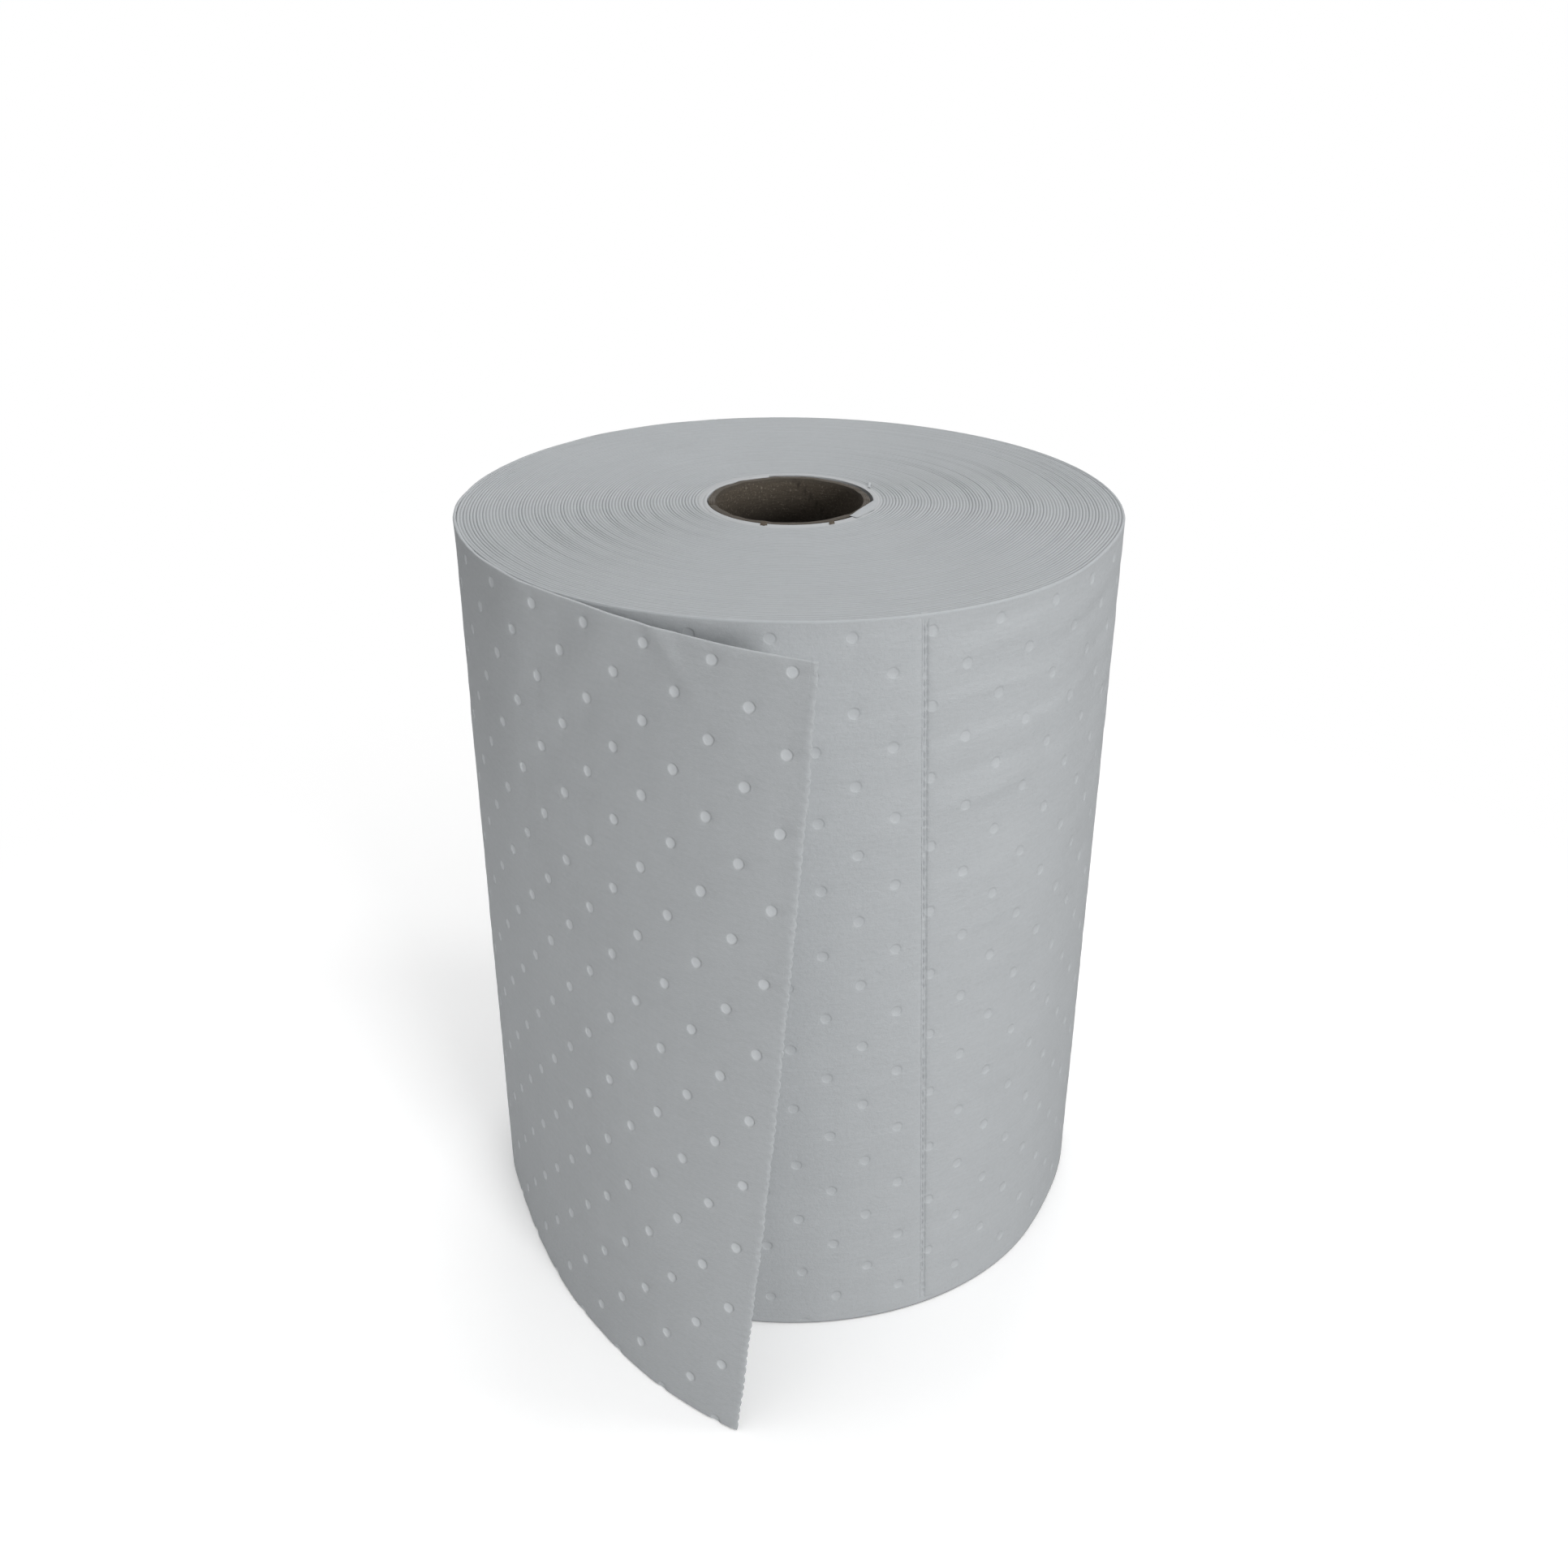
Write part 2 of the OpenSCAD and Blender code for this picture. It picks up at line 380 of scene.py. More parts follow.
def band_faces(rows, cols):
    """Faces that close a grid of rows x cols points with a back of two rows, the lower one first."""
    count = rows * cols
    i = np.arange(cols - 1)
    low, high, rim = count + i, count + cols + i, count - cols + i
    bottom = np.stack([i, i + 1, low + 1, low], 1)
    top = np.stack([rim, high, high + 1, rim + 1], 1)
    behind = np.stack([low, low + 1, high + 1, high], 1)
    side = np.arange(rows) * cols
    first_end = np.concatenate([side, [count + cols, count]])[None, :]
    last_end = np.concatenate([side + cols - 1, [count + 2 * cols - 1, count + cols - 1]])[None, ::-1]
    return [grid_quads(rows, cols, 0, True), bottom, top, behind, first_end, last_end]


def flat_places(d, z):
    """Places on the web of a grid's points, one after another."""
    d, z = np.broadcast_arrays(d, z)
    return d.ravel(), z.ravel()


def both_sides(d, z):
    """Places on the web of a slab's points: its outer face, then its inner face."""
    d, z = flat_places(d, z)
    return np.tile(d, 2), np.tile(z, 2)


def web_rows(low, high):
    """Heights for the rows of the web: fine at each row of spots, and at both edges."""
    centres = WEB_WIDTH - SPOT_FIRST_ROW - SPOT_ROW * np.arange(SPOT_ROWS)
    z = np.concatenate([(centres[:, None] + SPOT_STEPS).ravel(), centres - SPOT_ROW / 2])
    clear = 1.2 * MM
    z = z[(z > low + clear) & (z < high - clear)]
    rims = np.array([0, 0.15 * MM, 0.55 * MM])
    return np.sort(np.concatenate([z, low + rims, high - rims]))[:, None]


def web_columns(low, high, first, last):
    """Distances for the columns of the web: fine at each column of spots, and at both ends."""
    centres = spot_column(np.arange(first, last + 1))
    d = np.concatenate([(centres[:, None] + SPOT_STEPS).ravel(), centres + SPOT_ROW / 2])
    clear = 0.5 * MM
    d = d[(d > low + clear) & (d < high - clear)]
    return np.sort(np.concatenate([d, [low, high]]))


# Shader nodes

def node(tree, kind, inputs=None, **settings):
    """A shader node with its settings, its inputs given as values or as other nodes' outputs."""
    made = tree.nodes.new(kind)
    for key, value in settings.items():
        setattr(made, key, value)
    for key, value in (inputs or {}).items():
        if isinstance(value, bpy.types.NodeSocket):
            tree.links.new(value, made.inputs[key])
        else:
            made.inputs[key].default_value = value
    return made


def maths(tree, operation, a, b=0.5, c=0.5):
    """The result of one sum on up to three numbers."""
    return node(tree, "ShaderNodeMath", {0: a, 1: b, 2: c}, operation=operation).outputs[0]


def shade(tree, factor, a, b):
    """The colour a where factor is 0 and b where it is 1."""
    return node(tree, "ShaderNodeMix", {0: factor, 6: a, 7: b}, data_type="RGBA").outputs[2]


def ramp(tree, value, low, high, kind="LINEAR"):
    """0 where value is at low and 1 where it is at high."""
    settings = {"Value": value, "From Min": low, "From Max": high}
    return node(tree, "ShaderNodeMapRange", settings, interpolation_type=kind).outputs[0]


def noise(tree, place, scale, detail=2.0, roughness=0.5):
    """A random value about 0.5 at each place, smooth at first and finer with each detail."""
    settings = {"Vector": place, "Scale": scale, "Detail": detail, "Roughness": roughness}
    return node(tree, "ShaderNodeTexNoise", settings).outputs[0]


def stretched(tree, place, scale, turn=0.0):
    """A place scaled along each axis and then turned about the third one."""
    settings = {0: place, "Rotation": (0, 0, turn), "Scale": scale}
    return node(tree, "ShaderNodeMapping", settings).outputs[0]


def in_millimetres(tree, place):
    """A place given in metres, in millimetres."""
    return node(tree, "ShaderNodeVectorMath", {0: place, 3: 1000.0}, operation="SCALE").outputs[0]


def length_of(tree, vector):
    """The length of a vector."""
    made = node(tree, "ShaderNodeVectorMath", {0: vector}, operation="LENGTH")
    return made.outputs["Value"]


def object_place(tree):
    """The place on the object, in metres."""
    return node(tree, "ShaderNodeTexCoord").outputs["Object"]


def web_map(tree, name):
    """The two numbers of a UV map of the web."""
    return node(tree, "ShaderNodeUVMap", uv_map=name).outputs[0]


def mark_value(tree, name):
    """The value of a named mark of the mesh."""
    return node(tree, "ShaderNodeAttribute", attribute_name=name).outputs["Fac"]


def grey(value, tint=(1, 1, 1)):
    """Scene colour of an 8-bit grey level, with a tint."""
    level = ((value / 255 + 0.055) / 1.055) ** 2.4
    return (level * tint[0], level * tint[1], level * tint[2], 1)


def effect(name, inputs, outputs):
    """An empty shader group with named sockets, and its input and output nodes."""
    tree = bpy.data.node_groups.new(name, "ShaderNodeTree")
    for label, kind, value in inputs:
        socket = tree.interface.new_socket(label, in_out="INPUT", socket_type=kind)
        if value is not None:
            socket.default_value = value
    for label, kind in outputs:
        tree.interface.new_socket(label, in_out="OUTPUT", socket_type=kind)
    given = tree.nodes.new("NodeGroupInput").outputs
    return tree, given, tree.nodes.new("NodeGroupOutput").inputs


def felt_fibres():
    """Felt, from places in millimetres: the highest of three crossed layers of long fibres, added
    to clumps, is its height; streaks along the web, clumps and slow shading are its mottle."""
    tree, given, result = effect(
        "felt_fibres",
        [("Place", "NodeSocketVector", None), ("Fibre", "NodeSocketFloat", 0.5),
         ("Clump", "NodeSocketFloat", 1.0)],
        [("Height", "NodeSocketFloat"), ("Mottle", "NodeSocketFloat")])
    place = given["Place"]
    layers = []
    for turn, scale in ((0.6, 0.55), (-0.7, 0.6), (1.45, 0.45)):
        turned = stretched(tree, place, (scale, scale * 4.5, scale * 2), turn)
        layers.append(noise(tree, turned, 1.0, 3.0, 0.6))
    fibre = maths(tree, "MAXIMUM", maths(tree, "MAXIMUM", layers[0], layers[1]), layers[2])
    clump = noise(tree, place, 0.42, 4.0, 0.62)
    slow = noise(tree, place, 0.022)
    streak = noise(tree, stretched(tree, place, (0.09, 0.8, 0.8)), 1.0, 3.0)
    lumps = maths(tree, "MULTIPLY", clump, given["Clump"])
    height = maths(tree, "ADD", maths(tree, "MULTIPLY", fibre, given["Fibre"]), lumps)
    cloud = maths(tree, "ADD", maths(tree, "MULTIPLY", clump, 0.4),
                  maths(tree, "MULTIPLY", slow, 0.25))
    mottle = maths(tree, "MULTIPLY_ADD", streak, 0.35, cloud)
    tree.links.new(height, result["Height"])
    tree.links.new(mottle, result["Mottle"])
    return tree


def bonded_spots():
    """1 on the bonded spots of the web, from the spot grid: columns along x and rows along y.

    Half the sum and half the difference of column and row are whole numbers at each spot, and what
    they lack of a whole number gives the distance to the nearest spot.
    """
    tree, given, result = effect(
        "bonded_spots",
        [("Grid", "NodeSocketVector", None), ("Radius", "NodeSocketFloat", 0.115),
         ("Blur", "NodeSocketFloat", 0.02)],
        [("Spot", "NodeSocketFloat")])
    split = node(tree, "ShaderNodeSeparateXYZ", {0: given["Grid"]}).outputs
    near = []
    for sign in ("ADD", "SUBTRACT"):
        diagonal = maths(tree, "MULTIPLY", maths(tree, sign, split[0], split[1]), 0.5)
        near.append(maths(tree, "SUBTRACT", diagonal, maths(tree, "ROUND", diagonal)))
    offset = node(tree, "ShaderNodeCombineXYZ", {
        0: maths(tree, "ADD", near[0], near[1]),
        1: maths(tree, "SUBTRACT", near[0], near[1])}).outputs[0]
    outside = maths(tree, "ADD", given["Radius"], given["Blur"])
    inside = maths(tree, "SUBTRACT", given["Radius"], given["Blur"])
    spot = ramp(tree, length_of(tree, offset), outside, inside, "SMOOTHSTEP")
    tree.links.new(spot, result["Spot"])
    return tree


def board_grain():
    """Specks of light pulp and flat-lying grain of the board, from places in millimetres."""
    tree, given, result = effect(
        "board_grain",
        [("Place", "NodeSocketVector", None)],
        [("Speck", "NodeSocketFloat"), ("Grain", "NodeSocketFloat")])
    place = given["Place"]
    speck = ramp(tree, noise(tree, place, 0.9, 4.0, 0.7), 0.56, 0.7)
    grain = noise(tree, stretched(tree, place, (0.35, 0.35, 1.6)), 0.8, 5.0, 0.65)
    tree.links.new(speck, result["Speck"])
    tree.links.new(grain, result["Grain"])
    return tree


# Materials

FELT, SPOTS, BOARD = felt_fibres(), bonded_spots(), board_grain()
FELT_ROUGHNESS = 0.93
FELT_TINT = (0.96, 1.0, 1.03)
COLLAR_TINT = (0.98, 1.0, 1.02)
# Radius and blur of a bonded spot in the spot grid
SPOT_SIZE = {"Radius": 0.145, "Blur": 0.028}
BOARD_DARK = (0.03, 0.023, 0.016, 1)
BOARD_LIGHT = (0.115, 0.095, 0.072, 1)
BOARD_SPECK = (0.22, 0.195, 0.155, 1)
# Painted shade: the near-black tone that the board takes deeper down the bore
PAINTED_BORE_SHADE = (0.006, 0.004, 0.0025, 1)
SEAM_TONE = (0.014, 0.01, 0.007, 1)
RIM_TONE = (0.056, 0.047, 0.037, 1)
WHITE = (1, 1, 1, 1)


def new_material(name, roughness, gloss):
    """A material, its node tree and its main shader, with a roughness and a specular level."""
    material = bpy.data.materials.new(name)
    material.use_nodes = True
    tree = material.node_tree
    shader = tree.nodes["Principled BSDF"]
    shader.inputs["Roughness"].default_value = roughness
    shader.inputs["Specular IOR Level"].default_value = gloss
    return material, tree, shader


def add_bump(tree, shader, height, strength, distance):
    """Tilt the shader's normal as a height does, over a distance in metres."""
    settings = {"Height": height, "Strength": strength, "Distance": distance}
    bump = node(tree, "ShaderNodeBump", settings)
    tree.links.new(bump.outputs[0], shader.inputs["Normal"])


def nonwoven_face(name, spot_tone_and_painted_light, spot_bump):
    """The face of the web: fibres lie in it, and the bonded spots are denser and smoother.

    The first number after the name says how much lighter the spots are: partly their own tone, and
    where it is high, as on the loose sheet, painted light shining through them. spot_bump says how
    deep their bump is.
    """
    material, tree, shader = new_material(name, FELT_ROUGHNESS, 0.25)
    place = in_millimetres(tree, web_map(tree, "web"))
    felt = node(tree, "ShaderNodeGroup", {"Place": place, "Fibre": 0.55, "Clump": 0.8},
                node_tree=FELT).outputs
    spot = node(tree, "ShaderNodeGroup", {"Grid": web_map(tree, "spots"), **SPOT_SIZE},
                node_tree=SPOTS).outputs[0]
    tone = shade(tree, felt["Mottle"], grey(165, FELT_TINT), grey(191, FELT_TINT))
    # Painted light: the spots lighten towards grey 203; on the loose sheet this stands mostly for
    # light shining through them
    tone = shade(tree, maths(tree, "MULTIPLY", spot, spot_tone_and_painted_light), tone, grey(203, FELT_TINT))
    tree.links.new(tone, shader.inputs["Base Color"])
    roughness = maths(tree, "SUBTRACT", FELT_ROUGHNESS, maths(tree, "MULTIPLY", spot, 0.25))
    tree.links.new(roughness, shader.inputs["Roughness"])
    fibre_share = maths(tree, "SUBTRACT", 1.0, maths(tree, "MULTIPLY", spot, 0.6))
    height = maths(tree, "SUBTRACT", maths(tree, "MULTIPLY", felt["Height"], fibre_share),
                   maths(tree, "MULTIPLY", spot, spot_bump))
    add_bump(tree, shader, height, 0.6, 0.0006)
    shader.inputs["Sheen Weight"].default_value = 0.06
    shader.inputs["Sheen Roughness"].default_value = 0.6
    return material


def nonwoven_edge():
    """The cut edges of the turns: short cut fibres, and painted shade that makes them darker down in
    the grooves.
    """
    material, tree, shader = new_material("nonwoven_edge", 0.95, 0.2)
    place = in_millimetres(tree, object_place(tree))
    felt = node(tree, "ShaderNodeGroup", {"Place": place, "Fibre": 0.4, "Clump": 0.35},
                node_tree=FELT).outputs
    tone = shade(tree, felt["Mottle"], grey(166, FELT_TINT), grey(188, FELT_TINT))
    # Painted shade: grey 135 where the groove mark is set, in the grooves between turns and along the
    # slipped arc
    tone = shade(tree, mark_value(tree, "groove"), tone, grey(135, FELT_TINT))
    tone = shade(tree, mark_value(tree, "collar"), tone, grey(182, COLLAR_TINT))
    tree.links.new(tone, shader.inputs["Base Color"])
    add_bump(tree, shader, felt["Height"], 0.25, 0.0004)
    return material


def kraft_board():
    """Grey-brown board: specks all over, painted shade that turns it near black down the bore, a
    darker seam, and a plain rim.
    """
    material, tree, shader = new_material("kraft_board", 0.82, 0.3)
    place = in_millimetres(tree, object_place(tree))
    board = node(tree, "ShaderNodeGroup", {"Place": place}, node_tree=BOARD).outputs
    tone = shade(tree, board["Grain"], BOARD_DARK, BOARD_LIGHT)
    tone = shade(tree, maths(tree, "MULTIPLY", board["Speck"], 0.85), tone, BOARD_SPECK)
    # Painted shade: by the inside mark the board darkens to a near-black tone deeper down the bore
    tone = shade(tree, maths(tree, "MULTIPLY", mark_value(tree, "inside"), 0.9), tone, PAINTED_BORE_SHADE)
    tone = shade(tree, mark_value(tree, "seam"), tone, SEAM_TONE)
    tone = shade(tree, mark_value(tree, "rim"), tone, RIM_TONE)
    tree.links.new(tone, shader.inputs["Base Color"])
    add_bump(tree, shader, board["Grain"], 0.8, 0.0006)
    return material


# The loose sheet's spots lighten much more than the wall's: painted light shining through the thin
# spots
LOOSE_FACE = nonwoven_face("nonwoven_loose_face", 0.8, 0.5)
WOUND_FACE = nonwoven_face("nonwoven_wound_face", 0.15, 0.15)
EDGE, KRAFT = nonwoven_edge(), kraft_board()


# The loose sheet, from the torn edge back to the rear perforation

def rounded(z, low, high, least=0.6, reach=0.6 * MM):
    """Share of the half thickness that is left towards the edges of the web: a quarter round."""
    inside = np.clip(np.minimum(z - low, high - z) / reach, 0, 1)
    return least + (1 - least) * np.sqrt(1 - (1 - inside) ** 2)


def soft_folds(d, z, way):
    """Slow waves of the loose end, off the roll only, and low slanting folds near its upper edge.

    The waves are a sine times a dapple, added to two more dapples, one of them slanting; the crease
    at the upper edge is a bell curve across a slanting line that fades below the edge.
    """
    free = smoothstep(0.0, 0.35, way)
    waves = 0.9 * MM * np.sin(d / 0.034 + z / 0.06) * dapple(d / 0.11, z / 0.13, 21)
    waves = waves + 0.6 * MM * dapple(d / 0.05, z / 0.07, 22)
    across, along = 0.75 * d + 0.66 * z, 0.66 * d - 0.75 * z
    waves = waves + 0.2 * MM * dapple(along / 0.1, across / 0.02, 23)
    near_top = 0.55 * MM * smoothstep(0.22, 0.36, z) * dapple(along / 0.1, across / 0.016, 24)
    below_edge = WEB_WIDTH - z
    crease = 0.9 * MM * bell(d - 0.078 + 0.9 * below_edge, 0.006) * bell(below_edge, 0.022)
    return free * (waves + crease) + near_top


def loose_sheet():
    """A closed slab with the web's relief and folds on both faces, and rounded edges.

    Its upper edge wanders up and down as the edges of the turns on the end face do.
    """
    low, high = EDGE_IN, WEB_WIDTH - EDGE_IN
    z = web_rows(low, high)
    d = web_columns(TORN_STRIP, SHEET_LEN - PERF_HALF, 0, WOUND_FIRST)
    d = np.broadcast_to(d, (len(z), len(d)))
    way = web_place(d, z)[3]
    relief = web_relief(d, z)
    fold = soft_folds(d, z, way) + pulled_folds(d, z)
    half = WEB_HALF * rounded(z, low, high, 0.6 - 0.35 * smoothstep(0, 0.15, way))
    wander = edge_wander((d - SHEET_LEN) / TURN_LEN, 41) * smoothstep(high - 0.012, high, z)
    outer = web_point(d, z, half + relief + fold)
    inner = web_point(d, z, -half - 0.45 * relief + fold)
    outer[..., 2] += wander
    inner[..., 2] += wander
    points, faces = slab(outer, inner)
    return make_piece("loose_sheet", points, faces, LOOSE_FACE,
                      web=both_sides(d, z))


def torn_edge():
    """The last millimetres before the tear: rounded teeth one perforation pitch apart, thinned out.

    A tooth's outline is a power of a sine, its lip stands up as a cosine, and fine dapple is fuzz.
    """
    low, high = EDGE_IN, WEB_WIDTH - EDGE_IN
    z = np.linspace(low, high, TEETH * TOOTH_STEPS + 1)[:, None]
    phase = z / PERF_PITCH + 0.22 * drift(z / 0.008, 31)
    size = TOOTH_SIZE + TOOTH_SPREAD * drift(z / PERF_PITCH, 32)
    tip = size * np.abs(np.sin(math.pi * phase)) ** TOOTH_POWER + 0.06 * MM * drift(z / 0.0008, 33)
    # Way from the sheet, 0, to the tips, 1, and the share of the web's thickness at each step
    way = np.array([[1.0, 0.92, 0.8, 0.6, 0.3, 0]])
    thin = np.array([[0.3, 0.6, 0.8, 0.95, 1, 1]])
    d = (TORN_STRIP + 0.6 * MM) * (1 - way) - tip * way
    line = np.broadcast_to(TORN_STRIP, z.shape)
    fold = soft_folds(line, z, np.ones_like(z)) + pulled_folds(line, z)
    lip = 0.28 * MM * way ** 2 * np.cos(2 * math.pi * phase)
    fuzz = 0.08 * MM * dapple(d / 0.0007, z / 0.0009, 34) * way
    half = WEB_HALF * thin * rounded(z, low, high, 0.25) - 0.02 * MM
    relief = web_relief(np.maximum(d, TORN_STRIP), z)
    outer = web_point(d, z, half + relief + fold + lip + fuzz)
    inner = web_point(d, z, -half - 0.45 * relief + fold + lip * 0.6)
    points, faces = slab(outer, inner)
    return make_piece("torn_edge", points, faces, LOOSE_FACE,
                      web=both_sides(d, z))


# The outermost wound turn, behind and beside the loose sheet

def wall_columns():
    """Distances for the wall's columns: fine where it is seen, finest at the front perforation,
    and coarse where the loose sheet lies on it."""
    start, end = SHEET_LEN + PERF_HALF, SHEET_LEN + TURN_LEN
    hidden = LOOSE_LEN + TURN_LEN + 0.006
    seen = web_columns(start, hidden, WOUND_FIRST, LAST_SEEN)
    seen = seen[np.abs(seen - FRONT_LINE) > 5.2 * MM]
    half = np.array([0.5, 1.3, 1.55, 1.9, 3.5, 5]) * MM
    line = FRONT_LINE + np.concatenate([-half[::-1], half])
    behind = np.linspace(hidden + 0.01, end, HIDDEN_COLUMNS)
    return np.sort(np.concatenate([seen, line, behind]))


def wound_wall():
    """One turn of the wound web from the rear perforation on, as a closed band on the turns below.

    The relief fades to a flat-bottomed groove that holds the front perforation.
    """
    low, high = WALL_CAP, WEB_WIDTH - WALL_CAP
    z = web_rows(low, high)
    columns = wall_columns()
    d = np.broadcast_to(columns, (len(z), len(columns)))
    across = np.abs(d - FRONT_LINE)
    relief = web_relief(d, z, WALL_SPOT) * smoothstep(1.6 * MM, 2.6 * MM, across)
    groove = -1.5 * MM * (1 - smoothstep(1.3 * MM, 1.6 * MM, across))
    groove = groove - 0.12 * MM * (1 - smoothstep(1.5 * MM, 5 * MM, across))
    folds = pulled_folds(d, z) * smoothstep(0, 4 * MM, across)
    folds = folds * smoothstep(0, 6 * MM, np.minimum(z, WEB_WIDTH - z))
    outer = web_point(d, z, WEB_HALF + relief + folds + groove)
    back_d = np.broadcast_to(columns, (2, len(columns)))
    back_z = np.array([[low], [high]])
    back = web_point(back_d, back_z, WEB_HALF - WALL_BACK)
    points = np.concatenate([outer.reshape(-1, 3), back.reshape(-1, 3)])
    place = np.hstack([flat_places(d, z), flat_places(back_d, back_z)])
    return make_piece("wound_wall", points, band_faces(*d.shape), WOUND_FACE,
                      web=place)


def perforation_strip(name, centre, seed):
    """The perforated line: slits between short ties, with a broken thread of fibres down the middle.

    The slit's depth falls from its lips inwards; a cosine along the line makes the ties.
    """
    half = np.array([0.3, 0.55, 0.85, 1.2, 1.6]) * MM
    x = np.concatenate([-half[::-1], [0], half])[None, :]
    end = 0.25 * MM
    z = np.linspace(end, WEB_WIDTH - end, TEETH * TOOTH_STEPS + 1)[:, None]
    phase = z / PERF_PITCH + 0.12 * drift(z / 0.01, seed)
    tie = smoothstep(0.75, 0.98, np.abs(np.cos(math.pi * phase)))
    lip = smoothstep(0.6 * MM, 1.5 * MM, np.abs(x))
    thread = (1 - smoothstep(0.1 * MM, 0.55 * MM, np.abs(x))) * (1 - 0.6 * tie)
    thread = thread * smoothstep(-0.9, -0.3, drift(z / 0.007, seed + 1))
    sunk = SLIT_DEPTH * (1 - lip) * (1 - 0.75 * thread) * (1 - 0.3 * tie) + 0.05 * MM
    rough = 0.05 * MM * dapple(x / 0.0006, z / 0.0015, seed + 2)
    d = centre + x + 0 * z
    outer = web_point(d, z, WEB_HALF - sunk + rough)
    inner = web_point(d, z, -WEB_HALF - 0.35 * MM)
    points, faces = slab(outer, inner)
    return make_piece(name, points, faces, WOUND_FACE, web=both_sides(d, z))


# The end faces: the cut edges of all the wound turns

def slip_arc(radius, angle):
    """1 along a short arc beside the tube where a turn has slipped: a bell curve across a line
    whose radius grows with the bearing, faded at both ends."""
    bearing = degrees_from(angle, 0) % 360
    line = (44.2 + 0.052 * (bearing - 180)) * MM
    ends = smoothstep(168, 178, bearing) * (1 - smoothstep(232, 246, bearing))
    return bell(radius - line, 0.3 * MM) * ends


def turn_faces(number, count):
    """Faces of a spiral ribbon, the lip and skirt round it, the skirt in the bore and a flat back.

    number holds the ribbon's points, and lip, foot and inner foot follow from count on.
    """
    steps, n = len(ACROSS), number.shape[1]
    a, b, c, d = number[:-1, :-1], number[:-1, 1:], number[1:, 1:], number[1:, :-1]
    ribbon = np.stack([a, b, c, d], -1).reshape(-1, 4)
    lip, foot, inner = count + np.arange(3 * n).reshape(3, n)
    top, last = number[0], number[-1]
    strips = [np.stack([p[1:], p[:-1], q[:-1], q[1:]], 1) for p, q in ((top, lip), (lip, foot))]
    strips.append(np.stack([last[:-1], last[1:], inner[1:], inner[:-1]], 1))
    back = np.stack([foot[2:-1], foot[1:-2], inner[1:-2], inner[2:-1]], 1)
    back_first = [[foot[1], foot[0], foot[-1], inner[0], inner[1]]]
    back_last = [[foot[-1], foot[-2], inner[-2], inner[-1], inner[0]]]
    outer_seam = [[top[0], *number[1:steps + 1, 0], lip[-1], foot[-1], foot[0], lip[0]]]
    inner_seam = [[last[0], *number[-steps:, -1], inner[-1], inner[0]]]
    return [np.concatenate([ribbon, *strips, back]), back_first, back_last, outer_seam, inner_seam]


def end_turns(name, upper, seed):
    """The edges of the wound turns on one end face, as one spiral ribbon with grooves between turns.

    The ribbon's outer edge loses one thickness in each turn, and the face rises to a crown by the
    square of the radius. Its points are numbered so that the end of one turn is the start of the
    next, and a skirt and a flat back close it.
    """
    z_face, sign = (WEB_WIDTH, 1) if upper else (0.0, -1)
    seam = line_at(SHEET_LEN, z_face)
    steps = len(ACROSS)
    rows, cols = TURNS * steps + 1, ROUND + 1
    k = np.arange(rows)
    turns = (k // steps)[:, None] + (np.arange(cols) / ROUND)[None, :]
    angle = LEAVE_LOW + seam / RING_R - 2 * math.pi * turns
    radius = RING_R + WEB_PITCH * (1 + seam / TURN_LEN - turns) - 0.02 * MM
    radius = radius + out_of_round(angle) * (radius / RING_R) ** 1.7
    radius = radius - WEB_PITCH * ACROSS[k % steps][:, None]
    collar = 1 - smoothstep(COLLAR_FROM, COLLAR_TO, radius)
    slip = slip_arc(radius, angle) * upper
    groove = np.where(k % steps == 0, 1.0, 0.0)[:, None]
    shoulder = np.where(k % 2 == 1, 1.0, 0.0)[:, None]
    deep = GROOVE + GROOVE_SPREAD * drift(turns * 2.7, seed + 9)
    height = -(groove * deep + shoulder * SHOULDER) * MM * (1 - 0.75 * collar)
    height = height + edge_wander(turns, seed) * (1 - 0.6 * collar)
    height = height + CROWN * (1 - (radius / RING_R) ** 2) - 0.4 * MM * slip
    # The outermost row is a low shoulder instead of a groove
    height[0] = -0.22 * MM + height[2]
    radius[0] -= 0.1 * MM
    points = np.stack([radius * np.cos(angle), radius * np.sin(angle), z_face + sign * height], -1)

    def ring(source, inward, down):
        """A copy of one ring of points, moved towards the axis and into the roll."""
        ring_r = np.hypot(source[:, 0], source[:, 1])[:, None]
        moved = source.copy()
        moved[:, :2] *= (ring_r - inward) / ring_r
        moved[:, 2] = z_face - sign * down
        return moved

    lip = ring(points[0], -0.15 * MM, 1.35 * MM)
    foot = ring(points[0], 0.4 * MM, SKIRT)
    inner_foot = ring(points[-1], 0, SKIRT)
    points = np.concatenate([points.reshape(-1, 3), lip, foot, inner_foot])
    # Painted shade: the groove mark darkens the grooves between turns (less at the collar), the
    # outermost shoulder a little, and the slipped arc
    painted_groove_shade = groove * 0.7 * (1 - 0.8 * collar)
    painted_groove_shade[0] = 0.1
    skirt = np.zeros(3 * cols)
    marks = {"groove": np.concatenate([np.maximum(painted_groove_shade, slip * 0.9).ravel(), skirt]),
             "collar": np.concatenate([(collar * 0.7).ravel(), skirt])}

    # The last column is the first one of the next turn, so its points are shared
    number = np.arange(rows * cols).reshape(rows, cols)
    number[:-steps, -1] = number[steps:, 0]
    faces = [np.asarray(f)[:, ::-sign] for f in turn_faces(number, rows * cols)]
    # Points that were given up for shared ones are left out
    used = np.zeros(len(points), bool)
    used[np.concatenate([f.ravel() for f in faces])] = True
    renumber = np.cumsum(used) - 1
    faces = [renumber[f] for f in faces]
    marks = {label: values[used] for label, values in marks.items()}
    return make_piece(name, points[used], faces, EDGE, marks=marks, sharp=75)


# The core tube

